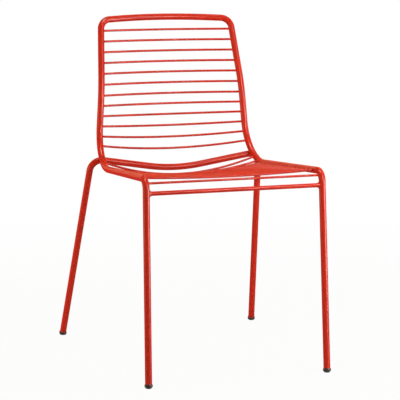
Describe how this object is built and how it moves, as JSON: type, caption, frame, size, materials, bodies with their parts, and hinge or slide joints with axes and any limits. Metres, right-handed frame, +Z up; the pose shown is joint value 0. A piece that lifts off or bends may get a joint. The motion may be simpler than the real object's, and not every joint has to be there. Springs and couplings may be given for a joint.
{
  "type": "garden chair",
  "caption": "Armless garden chair of bent red steel tube, with a seat and back of welded cross wires, splayed rear legs and black plastic feet.",
  "frame": {"origin": "on the floor, under the middle of the chair's outer box", "axes": "+Z up, -Y towards the front of the seat, +X to the sitter's left"},
  "size_m": [0.534, 0.597, 0.811],
  "materials": {
    "red_powder_coat": "semi-gloss powder coat",
    "black_plastic": "matte"
  },
  "bodies": {
    "root": {"seat_back_frame": "red_powder_coat", "rear_leg_frame": "red_powder_coat", "front_stretcher": "red_powder_coat", "back_wire_01": "red_powder_coat", "back_wire_02": "red_powder_coat", "back_wire_03": "red_powder_coat", "back_wire_04": "red_powder_coat", "back_wire_05": "red_powder_coat", "back_wire_06": "red_powder_coat", "back_wire_07": "red_powder_coat", "back_wire_08": "red_powder_coat", "back_wire_09": "red_powder_coat", "back_wire_10": "red_powder_coat", "back_wire_11": "red_powder_coat", "back_wire_12": "red_powder_coat", "seat_wire_01": "red_powder_coat", "seat_wire_02": "red_powder_coat", "seat_wire_03": "red_powder_coat", "seat_wire_04": "red_powder_coat", "seat_wire_05": "red_powder_coat", "seat_wire_06": "red_powder_coat", "seat_wire_07": "red_powder_coat", "seat_wire_08": "red_powder_coat", "seat_wire_09": "red_powder_coat", "seat_wire_10": "red_powder_coat", "seat_wire_11": "red_powder_coat", "seat_wire_12": "red_powder_coat", "seat_wire_13": "red_powder_coat", "seat_wire_14": "red_powder_coat", "seat_wire_15": "red_powder_coat", "front_edge_wire": "red_powder_coat", "feet": "black_plastic"}
  },
  "joints": []
}
